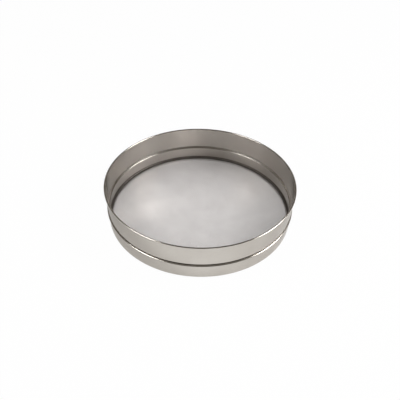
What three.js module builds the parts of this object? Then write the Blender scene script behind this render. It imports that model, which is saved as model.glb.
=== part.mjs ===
// Drum sieve in stainless steel: two nested sheet hoops with a bound wire cloth between them.
// Millimetres, +Z up. The origin is the middle of the plane that the sieve stands on.

import * as THREE from 'three';

// Driving dimensions of the hoops
const RIM_DIAMETER = 300; // over the curl of the rim
const SIEVE_HEIGHT = 63; // from the table to the top of the rim
const LOWER_HOOP_HEIGHT = 25.2; // from the table to the top of the lower hoop's curl
const HOOP_SHEET = 0.8; // thickness of the sheet that both hoops are rolled from
const RIM_CURL = 2.6; // over the rolled rim of the upper hoop
const LOWER_CURL = 3.4; // over the rolled upper edge of the lower hoop
const CURL_SWEEP = 270; // degrees that a free edge is rolled round
const WALL_LEAN = 2.6; // degrees that the upper hoop's wall widens towards the rim
const STEP_DEPTH = 2.3; // how far the upper hoop is drawn in at its step
const STEP_ANGLE = 28; // degrees that the sheet leans over in the step's long slope
const LIP_ANGLE = 64; // degrees that it leans over in the flat lip at the foot of the step
const LIP_RUN = 0.3; // straight part of that lip
const STEP_BEND = 0.6; // radius of the step's three bends, at the middle of the sheet
const NECK_REVEAL = 1; // straight neck that stands above the lower hoop's straight wall
const FOOT_BEND = 1.2; // radius of the bend at the lower hoop's foot, at the middle of the sheet
const FLANGE_WIDTH = 4; // flange turned in at the foot, measured from the lower hoop's inner wall

// Driving dimensions of the cloth
const EDGE_WIRE = 1.4; // across the ring of round wire that keeps the cloth flat
const BINDING_STRIP = 0.4; // thickness of the strip folded round the edge wire and the cloth
const BINDING_BEND = 0.6; // radius of the binding's lower outer corner, at the middle of the strip
const HEM_RISE = 2.1; // from the middle of the edge wire to the start of the binding's round top
const WIRE = 0.4; // across each wire of the cloth
const WIRE_PITCH = 2.5; // from one wire to the next
const EDGE_BAND = 2; // width of the band, inside the binding, where the wire ends are run together
const CLOTH_TURN = 60; // degrees from the X axis to the wires of the lower layer

// Clearances
const PUSH_FIT = 0.3; // between the upper hoop's neck and the lower hoop
const SEAT_GAP = 0.3; // between pieces that lie on or in each other
const LAYER_GAP = 0.1; // between the two layers of wires

// Facets
const ROUND_FACETS = 64; // round the axis
const FACET_TURN = 45; // degrees, the most that one facet of a bend turns
const LEAST_BEND_FACETS = 2;
const EDGE_WIRE_SIDES = 6;

// Step of the upper hoop, along the middle of the sheet
const wallLean = THREE.MathUtils.degToRad(WALL_LEAN);
const stepLean = THREE.MathUtils.degToRad(STEP_ANGLE);
const lipLean = THREE.MathUtils.degToRad(LIP_ANGLE);
const bendShare = 1 + Math.cos(wallLean) - 2 * Math.cos(lipLean);
const lipDepth = LIP_RUN * Math.sin(lipLean);
const stepBend = Math.min(STEP_BEND, (STEP_DEPTH - lipDepth) / bendShare);
const stepSlope = (STEP_DEPTH - lipDepth - stepBend * bendShare) / Math.sin(stepLean);
const bendsHeight = stepBend * (2 * Math.sin(lipLean) - Math.sin(wallLean));
const stepHeight = bendsHeight + LIP_RUN * Math.cos(lipLean) + stepSlope * Math.cos(stepLean);

// Wall of the upper hoop, from the step to the rim's curl, along the middle of the sheet
const rimBend = (RIM_CURL - HOOP_SHEET) / 2;
const lowerBend = (LOWER_CURL - HOOP_SHEET) / 2;
const lowerWallTop = LOWER_HOOP_HEIGHT - LOWER_CURL / 2;
const neckTop = lowerWallTop + NECK_REVEAL;
const wallTop = SIEVE_HEIGHT - RIM_CURL / 2 + rimBend * Math.sin(wallLean);
const wallTopRadius = RIM_DIAMETER / 2 - RIM_CURL / 2 - rimBend * Math.cos(wallLean);
const wallRun = (wallTop - neckTop - stepHeight) / Math.cos(wallLean);

// Radii, from the neck of the upper hoop
const neckRadius = wallTopRadius - wallRun * Math.sin(wallLean) - STEP_DEPTH;
const neckInner = neckRadius - HOOP_SHEET / 2;
const lowerInner = neckInner + HOOP_SHEET + PUSH_FIT;
const flangeInner = lowerInner - FLANGE_WIDTH;
const bindingWidth = EDGE_WIRE + 2 * SEAT_GAP + 2 * BINDING_STRIP;
const bindingOuter = lowerInner - SEAT_GAP;
const bindingInner = bindingOuter - bindingWidth;
const edgeWireRadius = bindingOuter - bindingWidth / 2;
const clothOuter = bindingOuter - BINDING_STRIP - SEAT_GAP;

// Heights, from the table upwards
const bindingBottom = HOOP_SHEET + SEAT_GAP;
const clothBottom = bindingBottom + BINDING_STRIP + SEAT_GAP;
const clothTop = clothBottom + 2 * WIRE + LAYER_GAP;
const edgeWireHeight = clothTop + SEAT_GAP + EDGE_WIRE / 2;
const hemTop = edgeWireHeight + HEM_RISE;
const bindingTop = hemTop + bindingWidth / 2;
const neckBottom = bindingTop + SEAT_GAP;

const hoopSteel = new THREE.MeshStandardMaterial({ color: 0xb7b2a9, roughness: 0.32, metalness: 1 });
const wireSteel = new THREE.MeshStandardMaterial({ color: 0xc8c4c1, roughness: 0.4, metalness: 1 });
const bindingSteel = new THREE.MeshStandardMaterial({ color: 0x6d6862, roughness: 0.55, metalness: 1 });

// A move along a strip: a straight run, or a bend that turns left for a positive angle
const run = (length) => ({ length, turn: 0 });
const bend = (radius, degrees) => ({ radius, turn: THREE.MathUtils.degToRad(degrees) });

// Stations along the middle of a bent strip, in the plane of radius (x) and height (y)
function stripStations(radius, height, headingDegrees, moves) {
  const at = new THREE.Vector2(radius, height);
  let heading = THREE.MathUtils.degToRad(headingDegrees);
  const stations = [{ at: at.clone(), heading }];
  for (const move of moves) {
    if (move.turn === 0) {
      at.x += move.length * Math.cos(heading);
      at.y += move.length * Math.sin(heading);
      stations.push({ at: at.clone(), heading });
      continue;
    }
    const facets = Math.ceil(Math.abs(move.turn) / THREE.MathUtils.degToRad(FACET_TURN));
    const steps = Math.max(LEAST_BEND_FACETS, facets);
    const side = Math.sign(move.turn);
    for (let step = 0; step < steps; step += 1) {
      const next = heading + move.turn / steps;
      at.x += side * move.radius * (Math.sin(next) - Math.sin(heading));
      at.y -= side * move.radius * (Math.cos(next) - Math.cos(heading));
      heading = next;
      stations.push({ at: at.clone(), heading });
    }
  }
  return stations;
}

// One face of the strip: its stations moved to the left by an offset
function stripFace(stations, offset) {
  return stations.map(({ at, heading }) => new THREE.Vector2(
    at.x - offset * Math.sin(heading),
    at.y + offset * Math.cos(heading),
  ));
}

// A ring rolled from bent strip: the closed section is turned round the axis
function stripRing(stations, thickness) {
  const left = stripFace(stations, thickness / 2);
  const right = stripFace(stations, -thickness / 2).reverse();
  const section = [...left, ...right, left[0].clone()];
  return new THREE.LatheGeometry(section.reverse(), ROUND_FACETS).rotateX(Math.PI / 2);
}

// Upper hoop: neck, inward step, leaning wall and curled rim, from the neck's lower edge upwards
function upperHoop() {
  return stripRing(stripStations(neckRadius, neckBottom, 90, [
    run(neckTop - neckBottom),
    bend(stepBend, -LIP_ANGLE),
    run(LIP_RUN),
    bend(stepBend, LIP_ANGLE - STEP_ANGLE),
    run(stepSlope),
    bend(stepBend, STEP_ANGLE - WALL_LEAN),
    run(wallRun),
    bend(rimBend, -CURL_SWEEP),
  ]), HOOP_SHEET);
}

// Lower hoop: flange that carries the cloth, wall and curled upper edge, from the flange outwards
function lowerHoop() {
  const bendStart = lowerInner + HOOP_SHEET / 2 - FOOT_BEND;
  const wallBottom = HOOP_SHEET / 2 + FOOT_BEND;
  return stripRing(stripStations(flangeInner, HOOP_SHEET / 2, 0, [
    run(bendStart - flangeInner),
    bend(FOOT_BEND, 90),
    run(lowerWallTop - wallBottom),
    bend(lowerBend, -CURL_SWEEP),
  ]), HOOP_SHEET);
}

// Binding: a strip that goes under the cloth, up outside the edge wire, over it and down to the cloth
function clothBinding() {
  const middle = bindingBottom + BINDING_STRIP / 2;
  return stripRing(stripStations(bindingInner, middle, 0, [
    run(bindingWidth - BINDING_STRIP / 2 - BINDING_BEND),
    bend(BINDING_BEND, 90),
    run(hemTop - middle - BINDING_BEND),
    bend((bindingWidth - BINDING_STRIP) / 2, 180),
    run(hemTop - clothTop - SEAT_GAP),
  ]), BINDING_STRIP);
}

// Edge wire: a plain ring of round wire
function edgeWire() {
  return new THREE.TorusGeometry(edgeWireRadius, EDGE_WIRE / 2, EDGE_WIRE_SIDES, ROUND_FACETS);
}

// One layer of the cloth: parallel wires across an edge band, cut from a flat disc
function wireLayer() {
  const bandInner = clothOuter - EDGE_BAND;
  const rim = [];
  for (let facet = 0; facet < ROUND_FACETS; facet += 1) {
    const angle = (facet / ROUND_FACETS) * 2 * Math.PI;
    rim.push(new THREE.Vector2(clothOuter * Math.cos(angle), clothOuter * Math.sin(angle)));
  }
  const outline = new THREE.Shape(rim);
  const gapCount = Math.floor((2 * bandInner - WIRE) / WIRE_PITCH);
  for (let gap = 0; gap < gapCount; gap += 1) {
    const middle = (gap - (gapCount - 1) / 2) * WIRE_PITCH;
    const low = middle - (WIRE_PITCH - WIRE) / 2;
    const high = middle + (WIRE_PITCH - WIRE) / 2;
    const lowReach = Math.sqrt(bandInner ** 2 - low ** 2);
    const highReach = Math.sqrt(bandInner ** 2 - high ** 2);
    outline.holes.push(new THREE.Path([
      new THREE.Vector2(-lowReach, low),
      new THREE.Vector2(lowReach, low),
      new THREE.Vector2(highReach, high),
      new THREE.Vector2(-highReach, high),
    ]));
  }
  return new THREE.ExtrudeGeometry(outline, { depth: WIRE, bevelEnabled: false });
}

function namedMesh(name, geometry, material, height = 0, turn = 0) {
  const mesh = new THREE.Mesh(geometry, material);
  mesh.name = name;
  mesh.position.z = height;
  mesh.rotation.z = THREE.MathUtils.degToRad(turn);
  return mesh;
}

const sieve = new THREE.Group();
sieve.add(namedMesh('upper_hoop', upperHoop(), hoopSteel));
sieve.add(namedMesh('lower_hoop', lowerHoop(), hoopSteel));
sieve.add(namedMesh('cloth_binding', clothBinding(), bindingSteel));
sieve.add(namedMesh('edge_wire', edgeWire(), wireSteel, edgeWireHeight));
sieve.add(namedMesh('warp_wires', wireLayer(), wireSteel, clothBottom, CLOTH_TURN));
sieve.add(namedMesh('weft_wires', wireLayer(), wireSteel, clothTop - WIRE, CLOTH_TURN + 90));

export default sieve;
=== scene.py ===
# %% [markdown]
# # A drum sieve in stainless steel
#
# A drum sieve is a disc of wire cloth held between two low steel hoops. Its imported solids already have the
# right sizes and the right places, but they are faceted and their cloth is coarse. This lesson loads them as
# a fixed frame, makes each piece again as a smooth mesh in the same place, and gives it the real finish.

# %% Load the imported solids
import math

import bpy
import numpy as np
from mathutils import Matrix, Vector


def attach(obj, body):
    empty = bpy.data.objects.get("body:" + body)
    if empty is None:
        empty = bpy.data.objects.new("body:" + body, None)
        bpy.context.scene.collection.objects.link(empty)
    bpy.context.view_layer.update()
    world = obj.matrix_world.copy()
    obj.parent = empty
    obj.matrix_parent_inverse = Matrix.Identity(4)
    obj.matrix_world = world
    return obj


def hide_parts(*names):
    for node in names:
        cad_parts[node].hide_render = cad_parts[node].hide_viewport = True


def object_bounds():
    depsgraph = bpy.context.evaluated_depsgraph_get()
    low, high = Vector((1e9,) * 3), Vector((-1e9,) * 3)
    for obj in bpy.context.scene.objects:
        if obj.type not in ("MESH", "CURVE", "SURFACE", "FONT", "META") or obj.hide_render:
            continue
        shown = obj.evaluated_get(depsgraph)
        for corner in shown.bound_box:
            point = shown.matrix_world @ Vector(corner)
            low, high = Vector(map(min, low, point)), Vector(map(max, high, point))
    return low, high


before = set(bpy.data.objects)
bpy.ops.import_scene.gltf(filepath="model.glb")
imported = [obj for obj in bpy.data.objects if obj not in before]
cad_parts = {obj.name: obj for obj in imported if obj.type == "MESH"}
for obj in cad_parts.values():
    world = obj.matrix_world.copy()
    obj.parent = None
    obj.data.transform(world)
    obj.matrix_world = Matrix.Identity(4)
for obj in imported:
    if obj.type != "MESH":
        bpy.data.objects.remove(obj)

MM = 0.001  # metres

solid_low, solid_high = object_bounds()
print("solids:", sorted(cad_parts))
print("box of the solids, mm:", [round(side / MM, 1) for side in solid_high - solid_low])

# %% [markdown]
# ## Camera
#
# The photograph looks down on the sieve from the front. We could turn a camera by hand until it looks right.
# But the rim, the cloth's edge and the foot are circles, and their outlines in the photograph settle where
# the camera stood, so its distance, its angles and its lens were fitted to them and are only set here.

# %% Camera at the photograph's place
RIM_TO_CAMERA = 0.825  # metres, from the middle of the rim
LOOKING_DOWN = math.radians(37.887)  # from the camera to the middle of the rim
AIMED_LOWER = math.radians(2.161)  # the middle of the picture is below the middle of the rim
AIMED_RIGHT = math.radians(0.012)
ROLLED = math.radians(1.285)
LENS = 47.356  # mm
SENSOR = 36  # mm across


def in_scene(name, data):
    """An object with this data, put in the scene."""
    made = bpy.data.objects.new(name, data)
    bpy.context.scene.collection.objects.link(made)
    return made


rim_middle = Vector((0, 0, solid_high.z))
towards_camera = Vector((0, -math.cos(LOOKING_DOWN), math.sin(LOOKING_DOWN)))
down = LOOKING_DOWN + AIMED_LOWER
forward = Vector((
    math.sin(AIMED_RIGHT) * math.cos(down),
    math.cos(AIMED_RIGHT) * math.cos(down),
    -math.sin(down),
))
level_right = forward.cross(Vector((0, 0, 1))).normalized()
right = Matrix.Rotation(-ROLLED, 3, forward) @ level_right
upward = right.cross(forward)

camera_data = bpy.data.cameras.new("camera")
camera_data.sensor_width = SENSOR
camera_data.lens = LENS
camera = in_scene("camera", camera_data)
camera.matrix_world = Matrix.LocRotScale(
    rim_middle + RIM_TO_CAMERA * towards_camera,
    Matrix((right, upward, -forward)).transposed(),
    None,
)
bpy.context.scene.camera = camera
print("camera at, mm:", [round(place / MM) for place in camera.location])

# %% [markdown]
# ## Floor
#
# The photograph has a white ground without an edge. A floor lit up to white would throw too much light on
# the steel. So the floor is a plain pale one that takes the shadow of the sieve, and it glows only for rays
# that come from the camera or from the metal. The camera sees it white outside the foot. Through the cloth
# its glow is painted shade, dimmer towards the edge, where the hoops shade it, and painted light that
# reaches further to the sides. The metal sees it as painted reflections: in front of the sieve, which leaves
# the sides of the outer walls dark, and under the cloth, dimmer towards its edge.

# %% Helpers for node materials
def node(tree, kind, **settings):
    """A new node. A setting with the name of an input socket sets that socket."""
    made = tree.nodes.new(kind)
    for name, value in settings.items():
        if name in made.inputs:
            made.inputs[name].default_value = value
        else:
            setattr(made, name, value)
    return made


def maths(tree, operation, *values):
    """A Math node on values that are numbers or outputs of other nodes."""
    made = node(tree, "ShaderNodeMath", operation=operation)
    for socket, value in zip(made.inputs, values):
        if isinstance(value, bpy.types.NodeSocket):
            tree.links.new(value, socket)
        else:
            socket.default_value = value
    return made.outputs[0]


def noise(tree, place, patches, **settings):
    """A noise with about that many patches to the metre."""
    made = node(tree, "ShaderNodeTexNoise", Scale=patches, **settings)
    tree.links.new(place, made.inputs["Vector"])
    return made.outputs["Fac"]


def ramp(tree, value, stops):
    """The colour that belongs to a value, from stops (value, colour)."""
    made = node(tree, "ShaderNodeValToRGB")
    elements = made.color_ramp.elements
    while len(elements) < len(stops):
        elements.new(0.5)
    for element, (position, colour) in zip(elements, stops):
        element.position = position
        element.color = (*colour, 1)
    tree.links.new(value, made.inputs[0])
    return made.outputs[0]


def new_material(name):
    """A material with its node tree and its Principled shader."""
    material = bpy.data.materials.new(name)
    material.use_nodes = True
    return material, material.node_tree, material.node_tree.nodes["Principled BSDF"]


bpy.context.scene.view_settings.view_transform = "Standard"
print("view transform:", bpy.context.scene.view_settings.view_transform)

# %% Floor
FLOOR_RADIUS = 12.0  # metres
FLOOR_SIDES = 96
FLOOR_DROP = 0.0002  # metres, keeps the floor clear of the foot that stands on it

floor_rim = [
    (FLOOR_RADIUS * math.cos(angle), FLOOR_RADIUS * math.sin(angle), -FLOOR_DROP)
    for angle in np.linspace(0, 2 * math.pi, FLOOR_SIDES, endpoint=False)
]
floor_mesh = bpy.data.meshes.new("floor")
floor_mesh.from_pydata(floor_rim, [], [list(range(FLOOR_SIDES))])
floor = in_scene("floor", floor_mesh)
print("floor radius, m:", FLOOR_RADIUS)

# %% Floor paint
DARKER_PATCH, PALER_PATCH = (0.88, 0.88, 0.88), (0.92, 0.92, 0.92)

floor_paint, tree, shader = new_material("pale_floor")
tree.nodes.remove(shader)
place = node(tree, "ShaderNodeTexCoord").outputs["Object"]
mottle = noise(tree, place, patches=3.0, Detail=3.0)
matt = node(tree, "ShaderNodeBsdfDiffuse")
tree.links.new(ramp(tree, mottle, [(0, DARKER_PATCH), (1, PALER_PATCH)]), matt.inputs["Color"])
floor_mesh.materials.append(floor_paint)
print("floor paint:", floor_paint.name)

# %% Helpers for the glow
GLOW_REACH = 0.25  # metres from the middle, where the glows have stopped changing


def from_middle(tree, point):
    """The distance of a point from the middle of the floor."""
    measured = node(tree, "ShaderNodeVectorMath", operation="LENGTH")
    tree.links.new(point, measured.inputs[0])
    return measured.outputs["Value"]


def glow_along(tree, distance, start, stops):
    """The share of white at a distance in metres, from stops (distance, share) after the start."""
    scaled = node(tree, "ShaderNodeMapRange", **{"From Min": start, "From Max": GLOW_REACH})
    tree.links.new(distance, scaled.inputs["Value"])
    span = GLOW_REACH - start
    return ramp(tree, scaled.outputs[0], [((at - start) / span, (share,) * 3) for at, share in stops])


print("reach of the glow, m:", GLOW_REACH)

# %% Glow that the camera sees, with painted shade and painted light through the cloth
OPEN_GLOW = [(0.138, 0.0), (0.1445, 0.98)]  # outside the foot, by the distance from the middle
# painted shade: the glow through the cloth fades towards its edge, where the hoops shade the table
CLOTH_GLOW_PAINTED_SHADE = [(0.06, 0.70), (0.138, 0.27)]  # through the cloth
# painted light: the glow through the cloth reaches further to the sides, which brightens the cloth there
CLOTH_PAINTED_LIGHT_SHAPE = (0.70, 1.08, 1.0)  # it reaches further to the sides than to the front and back

ray = node(tree, "ShaderNodeLightPath").outputs
shaped = node(tree, "ShaderNodeVectorMath", operation="MULTIPLY")
shaped.inputs[1].default_value = CLOTH_PAINTED_LIGHT_SHAPE
tree.links.new(place, shaped.inputs[0])
radius = from_middle(tree, place)
cloth_radius = from_middle(tree, shaped.outputs[0])
open_floor = glow_along(tree, radius, 0, OPEN_GLOW)
painted_shade_through_cloth = glow_along(tree, cloth_radius, 0, CLOTH_GLOW_PAINTED_SHADE)
for_camera = maths(tree, "MAXIMUM", painted_shade_through_cloth, open_floor)
for_camera = maths(tree, "MULTIPLY", ray["Is Camera Ray"], for_camera)
print("share of white that the camera sees outside the foot:", OPEN_GLOW[-1][1])

# %% Glow that the metal sees, as painted reflections
# painted shade in the inner walls' reflections: the glow under the cloth fades towards its edge
UNDER_GLOW_PAINTED_SHADE = [(0.06, 0.90), (0.135, 0.05), (0.145, 0.0)]  # through the cloth, with the same shape
# painted reflection: the glow in front of the sieve brightens the outer walls in front and leaves their
# sides dark
FRONT_PAINTED_REFLECTION = [(-0.178, 0.84), (-0.15, 0.50), (-0.03, 0.0)]  # in front of the sieve, by y


def seen_by_metal(tree, ray):
    """1 for a ray that comes from metal or glass, or else 0."""
    return maths(tree, "MAXIMUM", ray["Is Glossy Ray"], ray["Is Transmission Ray"])


axes = node(tree, "ShaderNodeSeparateXYZ")
tree.links.new(place, axes.inputs[0])
inside_foot = maths(tree, "LESS_THAN", radius, OPEN_GLOW[-1][0])
painted_shade_under_cloth = maths(tree, "MULTIPLY", inside_foot, glow_along(tree, cloth_radius, 0, UNDER_GLOW_PAINTED_SHADE))
painted_reflection_in_front = glow_along(tree, axes.outputs["Y"], -GLOW_REACH, FRONT_PAINTED_REFLECTION)
for_metal = maths(tree, "MAXIMUM", painted_shade_under_cloth, painted_reflection_in_front)
for_metal = maths(tree, "MULTIPLY", seen_by_metal(tree, ray), for_metal)
print("most white that the metal sees in front:", FRONT_PAINTED_REFLECTION[0][1])

# %% Blend the glow with the paint
def blend(tree, share, low, high, output):
    """Mixes two shaders, all low where the share is 0 and all high where it is 1, into the tree's output."""
    mix = node(tree, "ShaderNodeMixShader")
    for value, socket in zip((share, low.outputs[0], high.outputs[0]), mix.inputs):
        tree.links.new(value, socket)
    tree.links.new(mix.outputs[0], tree.nodes[output].inputs["Surface"])


glow = node(tree, "ShaderNodeEmission", Strength=1.0)
blend(tree, maths(tree, "MAXIMUM", for_camera, for_metal), matt, glow, "Material Output")
print("nodes in the floor's material:", len(tree.nodes))

# %% [markdown]
# ## Light
#
# Bare steel shows what is around it. In the photograph the rim and the inner ledge are dark at the middle
# and have thin white lines to the left and right, and the cloth has a bright spot on either side. That tells
# of a dim room with a soft light on each side, the left one a little to the front, and nothing bright
# overhead. An all-round white world would wash those lines out, so we use two area lights and a dim world.
# It is white only for the camera, so that the far edge of the floor can't be seen, and for the metal near
# the horizon.

# %% Soft lights
LAMP_DISTANCE = 1.7  # metres from the middle of the sieve's foot
LAMP_HEIGHT = 0.6  # metres, of the lit face


def soft_light(name, round_degrees, up_degrees, width, radiance):
    """A soft light that faces the sieve, so far round to the right from the front, and so far up."""
    turn, rise = math.radians(round_degrees), math.radians(up_degrees)
    away = Vector((math.sin(turn) * math.cos(rise), -math.cos(turn) * math.cos(rise), math.sin(rise)))
    data = bpy.data.lights.new(name, "AREA")
    data.shape = "RECTANGLE"
    data.size, data.size_y = width, LAMP_HEIGHT
    data.energy = radiance * math.pi * width * LAMP_HEIGHT
    lamp = in_scene(name, data)
    lamp.location = away * LAMP_DISTANCE
    lamp.rotation_mode = "QUATERNION"
    lamp.rotation_quaternion = away.to_track_quat("Z", "Y")
    print(name, "at, m:", [round(place, 2) for place in lamp.location])


soft_light("light_left", round_degrees=-68, up_degrees=44, width=0.8, radiance=8.0)
soft_light("light_right", round_degrees=88, up_degrees=38, width=0.9, radiance=12.5)

# %% Dim room
HORIZON_TONE = (0.50, 0.50, 0.50)
OVERHEAD_TONE = (0.12, 0.105, 0.092)
OVERHEAD_FROM = 0.35  # sine of the height over the horizon where the overhead tone begins
WHITE_UP_TO = 0.15  # the same for the white that the metal sees near the horizon

world = bpy.data.worlds.new("dim_room")
bpy.context.scene.world = world
world.use_nodes = True
tree = world.node_tree
room = tree.nodes["Background"]
direction = node(tree, "ShaderNodeTexCoord").outputs["Generated"]
axes = node(tree, "ShaderNodeSeparateXYZ")
tree.links.new(direction, axes.inputs[0])
height = axes.outputs["Z"]
tones = [(0.0, HORIZON_TONE), (OVERHEAD_FROM, OVERHEAD_TONE)]
tree.links.new(ramp(tree, height, tones), room.inputs["Color"])

white = node(tree, "ShaderNodeBackground", Color=(1, 1, 1, 1), Strength=1.0)
near_horizon = node(tree, "ShaderNodeMapRange", **{"From Max": WHITE_UP_TO, "To Min": 1.0, "To Max": 0.0})
tree.links.new(height, near_horizon.inputs["Value"])
ray = node(tree, "ShaderNodeLightPath").outputs
for_metal = maths(tree, "MULTIPLY", seen_by_metal(tree, ray), near_horizon.outputs[0])
blend(tree, maths(tree, "MAXIMUM", ray["Is Camera Ray"], for_metal), room, white, "World Output")
print("tones of the room, from the horizon up:", tones)

# %% [markdown]
# ## Bent strip
#
# Both hoops and the binding of the cloth are strips of sheet, bent to a section and rolled into a ring. We
# could draw each section point by point, but a sheet metal worker thinks in straight runs and bends. So a
# small walker goes along the middle of the strip, and the two faces are set off from its path.

# %% Walk along a strip
BEND_FACET = 9.0  # degrees, the most that one facet of a bend turns
RUN_FACET = 3.0  # mm, the longest facet of a straight run
EDGE_BREAK = 0.15  # mm, the small bevel on the cut edges of the strip


def walk(radius, height, heading, moves):
    """Points (radius, height, heading) along a strip. A move is ("run", mm) or ("bend", mm, degrees)."""
    path = [(radius, height, math.radians(heading))]
    for kind, size, *turn in moves:
        radius, height, facing = path[-1]
        if kind == "run":
            count = max(1, math.ceil(size / RUN_FACET))
            for step in np.linspace(0, size, count + 1)[1:]:
                path.append((radius + step * math.cos(facing), height + step * math.sin(facing), facing))
            continue
        total = math.radians(turn[0])
        side = math.copysign(1, total)
        count = max(2, math.ceil(abs(turn[0]) / BEND_FACET))
        for step in np.linspace(0, total, count + 1)[1:]:
            path.append((
                radius + side * size * (math.sin(facing + step) - math.sin(facing)),
                height - side * size * (math.cos(facing + step) - math.cos(facing)),
                facing + step,
            ))
    return np.array(path)


def section(path, thickness):
    """The closed outline of a strip of that thickness, with broken edges, anticlockwise."""
    ends = []
    for end, along in ((path[0], 1), (path[-1], -1)):
        inset = end.copy()
        inset[:2] += along * EDGE_BREAK * np.array([math.cos(end[2]), math.sin(end[2])])
        ends.append(inset)
    full = np.vstack([path[:1], ends[:1], path[1:-1], ends[1:], path[-1:]])
    half = np.full(len(full), thickness / 2)
    half[[0, -1]] -= EDGE_BREAK
    offset = np.stack([-np.sin(full[:, 2]), np.cos(full[:, 2])], 1) * half[:, None]
    outline = np.vstack([full[:, :2] - offset, (full[:, :2] + offset)[::-1]])
    radii, heights = outline.T
    area = np.sum(radii * np.roll(heights, -1) - heights * np.roll(radii, -1)) / 2
    return outline if area > 0 else outline[::-1]


print("a square bend has", math.ceil(90 / BEND_FACET), "facets")

# %% Turn a section into a ring
ROUND_FACETS = 360
SHARP_EDGE = math.radians(30)  # folds sharper than this stay sharp


def bake_map(mesh, across, along):
    """A map named for the texture bake, from two values for each corner of the mesh."""
    layer = mesh.uv_layers.new(name="OFBake")
    layer.data.foreach_set("uv", np.stack([across, along], 1).astype(np.float32).ravel())


def ring(name, outline, bulge=None):
    """A closed ring with this section in mm. bulge(angle, height) gives mm that a point moves outwards."""
    count = len(outline)
    angle = np.linspace(0, 2 * math.pi, ROUND_FACETS, endpoint=False)[None, :]
    radii = np.repeat(outline[:, :1], ROUND_FACETS, 1)
    heights = np.repeat(outline[:, 1:], ROUND_FACETS, 1)
    if bulge:
        radii = radii + bulge(angle, heights)
    points = np.stack([radii * np.cos(angle), radii * np.sin(angle), heights], 2).reshape(-1, 3) * MM
    side, facet = np.meshgrid(np.arange(count), np.arange(ROUND_FACETS), indexing="ij")
    next_side, next_facet = (side + 1) % count, (facet + 1) % ROUND_FACETS
    corners = [(side, facet), (side, next_facet), (next_side, next_facet), (next_side, facet)]
    faces = np.stack([row * ROUND_FACETS + place for row, place in corners], 2).reshape(-1, 4)
    mesh = bpy.data.meshes.new(name)
    mesh.from_pydata(points.tolist(), [], faces.tolist())

    lengths = np.linalg.norm(np.roll(outline, -1, 0) - outline, axis=1)
    reach = np.concatenate([[0], np.cumsum(lengths)]) / lengths.sum()
    across = np.stack([facet, facet + 1, facet + 1, facet], 2).ravel() / ROUND_FACETS
    along = np.stack([reach[side], reach[side], reach[side + 1], reach[side + 1]], 2).ravel()
    bake_map(mesh, across, along)
    mesh.shade_smooth()
    mesh.set_sharp_from_angle(angle=SHARP_EDGE)
    made = in_scene(name, mesh)
    print(name, "faces:", len(faces), "box, mm:", [round(size / MM, 1) for size in made.dimensions])
    return made


print("facets round a ring:", ROUND_FACETS)

# %% [markdown]
# ## Satin steel
#
# The hoops are satin stainless sheet. Its grain is fine lines that run along the sheet, and so round the
# hoop. A picture texture would stretch on the bends and show a seam. Noise in space has neither, if it is
# pressed flat: short cells up and down and long ones across draw lines that run round the hoop. The lines
# also spread a reflection more across the grain than along it, which the shader's anisotropy does.

# %% Steel for the hoops
GRAIN_UP, GRAIN_ROUND = 4500.0, 60.0  # cells to the metre
GRAIN_DEPTH = 0.00002  # metres
STEEL_DARK, STEEL_PALE = (0.54, 0.508, 0.465), (0.60, 0.568, 0.524)
DARK_BELOW, PALE_ABOVE = 0.3, 0.7  # values of a noise, which seldom goes beyond them
SMOOTHEST = 0.11  # roughness where both noises are lowest
ROUGHER = 0.10  # what each of the two noises adds to it at most

steel, tree, shader = new_material("satin_steel")
place = node(tree, "ShaderNodeTexCoord").outputs["Object"]
flat = node(tree, "ShaderNodeMapping", Scale=(GRAIN_ROUND, GRAIN_ROUND, GRAIN_UP))
tree.links.new(place, flat.inputs["Vector"])
grain = noise(tree, flat.outputs[0], patches=1.0, Detail=2.0)
clouds = noise(tree, place, patches=22.0, Detail=3.0)
tint = ramp(tree, clouds, [(DARK_BELOW, STEEL_DARK), (PALE_ABOVE, STEEL_PALE)])
tree.links.new(tint, shader.inputs["Base Color"])
rough = maths(tree, "MULTIPLY_ADD", grain, ROUGHER, SMOOTHEST)
rough = maths(tree, "ADD", rough, maths(tree, "MULTIPLY", clouds, ROUGHER))
tree.links.new(rough, shader.inputs["Roughness"])

scratch = node(tree, "ShaderNodeBump", Strength=0.12, Distance=GRAIN_DEPTH)
tree.links.new(grain, scratch.inputs["Height"])
tree.links.new(scratch.outputs[0], shader.inputs["Normal"])
way = node(tree, "ShaderNodeTangent", direction_type="RADIAL", axis="Z")
tree.links.new(way.outputs[0], shader.inputs["Tangent"])
shader.inputs["Metallic"].default_value = 1.0
shader.inputs["Anisotropic"].default_value = 0.35
shader.inputs["Anisotropic Rotation"].default_value = 0.25
print("grain lines to the millimetre, about:", GRAIN_UP * MM)

# %% [markdown]
# ## Upper hoop
#
# The upper hoop is the drum. From below it has a plain neck that is pushed into the lower hoop, a step that
# widens it, a wall that leans out a little, and a rim curled outwards over three quarters of a turn, so that
# no hand meets a cut edge. The step starts with a flat lip, which catches the thin bright line inside, and
# goes on as a slope. Rolled sheet is never quite true, and reflections show that, so the wall swells by
# about a tenth of a millimetre here and there. A noise would do that too, but a few waves close round the
# hoop without a seam.

# %% Sizes of the upper hoop, in mm and degrees
SHEET = 0.8  # thickness
RIM_RADIUS = 150.0
RIM_CURL = 2.6  # over the rolled rim
CURL_TURN = 270
SIEVE_HEIGHT = 63.0
WALL_LEAN = 2.6
STEP_DEPTH = 2.3  # how far the neck is drawn in
STEP_LEAN = 28  # of the slope, from upright
STEP_BEND = 0.6  # radius of the bends, at the middle of the sheet
LIP_LEAN = 64  # of the flat lip, from upright
LIP_RUN = 0.3
NECK_BOTTOM = 7.5  # just above the binding of the cloth
NECK_TOP = 24.5  # where the step starts

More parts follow.
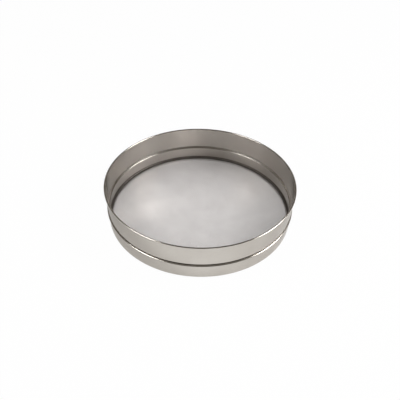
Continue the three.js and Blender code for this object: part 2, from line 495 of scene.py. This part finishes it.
wall_lean, step_lean, lip_lean = (math.radians(lean) for lean in (WALL_LEAN, STEP_LEAN, LIP_LEAN))
bend_share = 1 + math.cos(wall_lean) - 2 * math.cos(lip_lean)
lip_and_bends = STEP_BEND * bend_share + LIP_RUN * math.sin(lip_lean)
slope = (STEP_DEPTH - lip_and_bends) / math.sin(step_lean)
bends_height = STEP_BEND * (2 * math.sin(lip_lean) - math.sin(wall_lean))
step_height = bends_height + LIP_RUN * math.cos(lip_lean) + slope * math.cos(step_lean)
rim_bend = (RIM_CURL - SHEET) / 2
wall_bottom = NECK_TOP + step_height
wall_top = SIEVE_HEIGHT - RIM_CURL / 2 + rim_bend * math.sin(wall_lean)
wall_top_radius = RIM_RADIUS - RIM_CURL / 2 - rim_bend * math.cos(wall_lean)
wall_run = (wall_top - wall_bottom) / math.cos(wall_lean)
neck_radius = wall_top_radius - wall_run * math.sin(wall_lean) - STEP_DEPTH
print("step from", NECK_TOP, "to", round(wall_bottom, 1), "mm")

# %% Upper hoop from its section
UPPER_SWELL = 0.12  # mm
UPPER_WAVES = [(3, 0.4, 0.5), (7, 2.1, 0.3), (11, 4.0, 0.2)]  # (waves round the hoop, phase, share)


def swell(low, high, most, waves):
    """Makes a bulge for a ring, between two heights, as a sum of waves."""
    def bulge(angle, height):
        up = np.clip((height - low) / (high - low), 0, 1)
        fade = np.sin(math.pi * up) ** 2
        return most * fade * sum(share * np.sin(count * angle + phase) for count, phase, share in waves)
    return bulge


def stands_for(piece, node_name, body, material):
    """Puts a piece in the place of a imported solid, on its body and with its finish."""
    piece.data.materials.append(material)
    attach(piece, body)
    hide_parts(node_name)


upper_path = walk(neck_radius, NECK_BOTTOM, 90, [
    ("run", NECK_TOP - NECK_BOTTOM),
    ("bend", STEP_BEND, -LIP_LEAN),
    ("run", LIP_RUN),
    ("bend", STEP_BEND, LIP_LEAN - STEP_LEAN),
    ("run", slope),
    ("bend", STEP_BEND, STEP_LEAN - WALL_LEAN),
    ("run", wall_run),
    ("bend", rim_bend, -CURL_TURN),
])
upper_swell = swell(wall_bottom, wall_top, UPPER_SWELL, UPPER_WAVES)
upper_hoop = ring("upper_hoop_sheet", section(upper_path, SHEET), upper_swell)
stands_for(upper_hoop, "upper_hoop", "upper_hoop", steel)

# %% [markdown]
# ## Lower hoop
#
# The lower hoop stands on the table. Its foot is turned in to a flat flange, which carries the cloth, and
# its upper edge is curled outwards like the rim. The curl stops short of the step above it. That gap is the
# dark groove round the outside of the sieve. We could paint a dark line there, but a real gap also goes dark
# by itself, and opens when the upper hoop is lifted off.

# %% Lower hoop from its section, in mm
LOWER_HEIGHT = 25.2
LOWER_CURL = 3.4  # over the rolled edge
PUSH_FIT = 0.3  # gap between the neck and the lower hoop
FOOT_BEND = 1.2
FLANGE = 4.0  # width, from the inside of the wall
LOWER_SWELL = 0.08
LOWER_WAVES = [(4, 1.0, 0.5), (9, 3.0, 0.5)]
STILL_FOOT = 3.0  # height up to which the wall stays true

lower_inside = neck_radius + SHEET / 2 + PUSH_FIT
flange_inside = lower_inside - FLANGE
foot_start = lower_inside + SHEET / 2 - FOOT_BEND
lower_bend = (LOWER_CURL - SHEET) / 2
lower_wall_top = LOWER_HEIGHT - LOWER_CURL / 2
lower_path = walk(flange_inside, SHEET / 2, 0, [
    ("run", foot_start - flange_inside),
    ("bend", FOOT_BEND, 90),
    ("run", lower_wall_top - SHEET / 2 - FOOT_BEND),
    ("bend", lower_bend, -CURL_TURN),
])
lower_swell = swell(STILL_FOOT, lower_wall_top, LOWER_SWELL, LOWER_WAVES)
lower_hoop = ring("lower_hoop_sheet", section(lower_path, SHEET), lower_swell)
stands_for(lower_hoop, "lower_hoop", "lower_hoop", steel)
print("flat under the foot from", round(flange_inside, 1), "to", round(foot_start, 1), "mm")

# %% [markdown]
# ## Binding and edge wire
#
# Wire cloth frays at a cut edge. So its edge is laid under a ring of round wire, and both are wrapped in a
# folded strip with a tall hem, on which the neck of the upper hoop presses. The strip is left unpolished and
# lies in the shade of the neck, and its tone is painted far darker than steel as painted shade; the two make
# the dark line round the cloth. It could be a plain dark ring, but it comes into view when the cloth is
# lifted out, so it is folded, as such strips are.

# %% Dull steel for the binding, painted dark as shade
# painted shade: tones far darker than steel, for the dark line round the cloth
BINDING_PAINTED_SHADE_DARK, BINDING_PAINTED_SHADE_PALE = (0.11, 0.098, 0.087), (0.17, 0.154, 0.139)
ROUGH_SPREAD = 0.16  # between the roughest and the smoothest patch


def dull_steel(name, dark, pale, roughness, patches):
    """Unpolished steel in two tones, with that many patches to the metre, rougher where it is darker."""
    material, tree, shader = new_material(name)
    place = node(tree, "ShaderNodeTexCoord").outputs["Object"]
    blotch = noise(tree, place, patches, Detail=5.0, Roughness=0.6)
    tone = ramp(tree, blotch, [(DARK_BELOW, dark), (PALE_ABOVE, pale)])
    tree.links.new(tone, shader.inputs["Base Color"])
    rough = maths(tree, "MULTIPLY_ADD", blotch, -ROUGH_SPREAD, roughness + ROUGH_SPREAD / 2)
    tree.links.new(rough, shader.inputs["Roughness"])
    shader.inputs["Metallic"].default_value = 1.0
    print(name, "roughness about", roughness)
    return material


binding_painted_shade_steel = dull_steel("dull_binding_steel_painted_shade", BINDING_PAINTED_SHADE_DARK, BINDING_PAINTED_SHADE_PALE, roughness=0.5, patches=220.0)

# %% Binding round the edge of the cloth, in mm
STRIP = 0.4  # thickness
STRIP_BEND = 0.6
EDGE_WIRE = 1.4  # across
HEM_RISE = 2.1  # from the middle of the edge wire to the round top of the hem
SEAT_GAP = 0.3  # between pieces that lie on or in each other
CLOTH_BOTTOM, CLOTH_TOP = 1.8, 2.7  # heights over the table

binding_width = EDGE_WIRE + 2 * SEAT_GAP + 2 * STRIP
binding_outside = lower_inside - SEAT_GAP
strip_middle = SHEET + SEAT_GAP + STRIP / 2
edge_wire_height = CLOTH_TOP + SEAT_GAP + EDGE_WIRE / 2
hem_top = edge_wire_height + HEM_RISE
binding_path = walk(binding_outside - binding_width, strip_middle, 0, [
    ("run", binding_width - STRIP / 2 - STRIP_BEND),
    ("bend", STRIP_BEND, 90),
    ("run", hem_top - strip_middle - STRIP_BEND),
    ("bend", (binding_width - STRIP) / 2, 180),
    ("run", hem_top - CLOTH_TOP - SEAT_GAP),
])
binding = ring("cloth_binding_strip", section(binding_path, STRIP))
stands_for(binding, "cloth_binding", "cloth_insert", binding_painted_shade_steel)

# %% Edge wire inside the binding
EDGE_WIRE_SIDES = 24
WIRE_DARK, WIRE_PALE = (0.605, 0.573, 0.562), (0.715, 0.686, 0.674)

wire_turn = np.linspace(0, 2 * math.pi, EDGE_WIRE_SIDES, endpoint=False)
edge_section = np.stack([
    binding_outside - binding_width / 2 + EDGE_WIRE / 2 * np.cos(wire_turn),
    edge_wire_height + EDGE_WIRE / 2 * np.sin(wire_turn),
], 1)
drawn_wire = dull_steel("drawn_wire_steel", WIRE_DARK, WIRE_PALE, roughness=0.38, patches=30.0)
edge_wire = ring("edge_wire_round", edge_section)
stands_for(edge_wire, "edge_wire", "cloth_insert", drawn_wire)

# %% [markdown]
# ## Wire cloth
#
# The cloth is plain weave: each wire goes over one crossing wire and under the next. A pattern painted on a
# disc would be flat and would not let the floor through, so the wires are real meshes. Every wire is a tube
# with one ring of four points at each crossing, lifted or lowered in turn. No loom is perfect, so each wire
# lies a little off its place, and the whole sheet dips and rises by a few tenths of a millimetre, but not at
# its bound edge. Wires that were all alike would show stripes in the picture.

# %% Shape of the cloth, in mm
PITCH = 0.9
WIRE = 0.3
WIRE_SIDES = 4
CLOTH_TURN = math.radians(60)
PLAY = 0.08  # share of the pitch that a wire may lie off its place
SEED = 5  # of the random play, so that each run weaves the same cloth
EDGE_STILL = 0.25  # share of the radius, at the edge, over which the dips die out
# Each dip has radians to the mm along x and along y, a phase and a size in mm
DIPS = [(0.021, 0.017, 0.3, 0.35), (-0.034, 0.026, 1.9, 0.22), (0.012, -0.046, 4.1, 0.16)]

cloth_outside = binding_outside - STRIP - SEAT_GAP
cloth_middle = (CLOTH_BOTTOM + CLOTH_TOP) / 2


def cloth_height(x, y):
    """Height of the middle of the cloth, in mm."""
    edge = np.clip(1 - np.hypot(x, y) / cloth_outside, 0, 1)
    still = np.clip(edge / EDGE_STILL, 0, 1)
    still = still * still * (3 - 2 * still)
    dip = sum(size * np.sin(by_x * x + by_y * y + phase) for by_x, by_y, phase, size in DIPS)
    return cloth_middle + still * dip


def wire_tube(offset, crossings, first_up, turn):
    """Points of one wire: rings where it crosses other wires, the first over or under, and at its ends."""
    half = math.sqrt(cloth_outside**2 - offset**2)
    inside = np.abs(crossings) < half - PITCH / 2
    rising = np.where((np.arange(len(crossings)) + first_up) % 2, 1, -1)
    at = np.concatenate([[-half], crossings[inside], [half]])
    over = np.concatenate([[0], rising[inside], [0]])
    x = at * math.cos(turn) - offset * math.sin(turn)
    y = at * math.sin(turn) + offset * math.cos(turn)
    z = cloth_height(x, y) + over * WIRE / 2
    corner = -(np.arange(WIRE_SIDES) + 0.5) * 2 * math.pi / WIRE_SIDES  # this way round, faces look out
    side, lift = WIRE / 2 * np.cos(corner), WIRE / 2 * np.sin(corner)
    return np.stack([
        x[:, None] - side * math.sin(turn),
        y[:, None] + side * math.cos(turn),
        z[:, None] + lift,
    ], 2)


last = math.floor((cloth_outside - WIRE) / PITCH - 0.5)  # number of the outermost wire, from the middle
even = (np.arange(-last - 1, last + 1) + 0.5) * PITCH
chance = np.random.default_rng(SEED)
warp_at, weft_at = (even + PLAY * PITCH * chance.uniform(-1, 1, len(even)) for _ in range(2))
print("wires in each direction:", len(even), "cloth radius, mm:", round(cloth_outside, 1))

# %% Faces and map of one wire
MAP_SIDE = 0.1  # share of a wire's strip of the map that is free on either side of it
MAP_END = 0.001  # share of the map that is free beyond either end of it


def tube_faces(first, rings):
    """Faces along a tube whose points start at first, and one face to close either end."""
    side = np.arange(WIRE_SIDES)
    next_side = (side + 1) % WIRE_SIDES
    here = first + np.arange(rings - 1)[:, None] * WIRE_SIDES
    there = here + WIRE_SIDES
    corners = [here + side, there + side, there + next_side, here + next_side]
    ends = [first + side, first + (rings - 1) * WIRE_SIDES + side[::-1]]
    return np.concatenate([np.stack(corners, 2).reshape(-1, 4), ends])


def tube_map(place, count, rings):
    """Where those faces lie on the map, which gives each of the count wires a strip of its own."""
    reach = np.linspace(MAP_END, 1 - MAP_END, rings)
    turn = np.linspace(MAP_SIDE, 1 - MAP_SIDE, WIRE_SIDES + 1)
    here, low = np.meshgrid(reach[:-1], (place + turn[:-1]) / count, indexing="ij")
    there, high = np.meshgrid(reach[1:], (place + turn[1:]) / count, indexing="ij")
    ends = np.repeat([MAP_END / 2, 1 - MAP_END / 2], WIRE_SIDES)
    across = np.concatenate([np.stack([here, there, there, here], 2).ravel(), ends])
    middle = np.full(2 * WIRE_SIDES, (place + 0.5) / count)
    along = np.concatenate([np.stack([low, low, high, high], 2).ravel(), middle])
    return across, along


print("faces round a wire:", WIRE_SIDES)

# %% Warp and weft
BANDS = 4  # pieces for each direction, with about the same length of wire, as one would be too large


def weave(name, wires):
    """One mesh of closed tubes, from the points of each wire."""
    firsts = np.cumsum([0] + [len(tube) * WIRE_SIDES for tube in wires])
    points = np.concatenate([tube.reshape(-1, 3) for tube in wires]) * MM
    faces = np.concatenate([tube_faces(first, len(tube)) for first, tube in zip(firsts, wires)])
    maps = [tube_map(place, len(wires), len(tube)) for place, tube in enumerate(wires)]
    mesh = bpy.data.meshes.new(name)
    mesh.from_pydata(points.tolist(), [], faces.tolist())
    bake_map(mesh, *(np.concatenate(values) for values in zip(*maps)))
    mesh.shade_smooth()
    print(name, "wires:", len(wires), "faces:", len(mesh.polygons))
    return in_scene(name, mesh)


length = np.sqrt(cloth_outside**2 - even**2)
band = np.minimum((np.cumsum(length) / length.sum() * BANDS).astype(int), BANDS - 1)
layers = [
    ("warp", warp_at, weft_at, CLOTH_TURN, 1),
    ("weft", -weft_at, warp_at, CLOTH_TURN + math.pi / 2, 0),
]
for name, offsets, crossings, turn, first_up in layers:
    for number in range(BANDS):
        wires = [
            wire_tube(offsets[line], crossings, line + first_up, turn)
            for line in np.flatnonzero(band == number)
        ]
        piece = weave(f"{name}_wires_{number + 1}", wires)
        stands_for(piece, f"{name}_wires", "cloth_insert", drawn_wire)
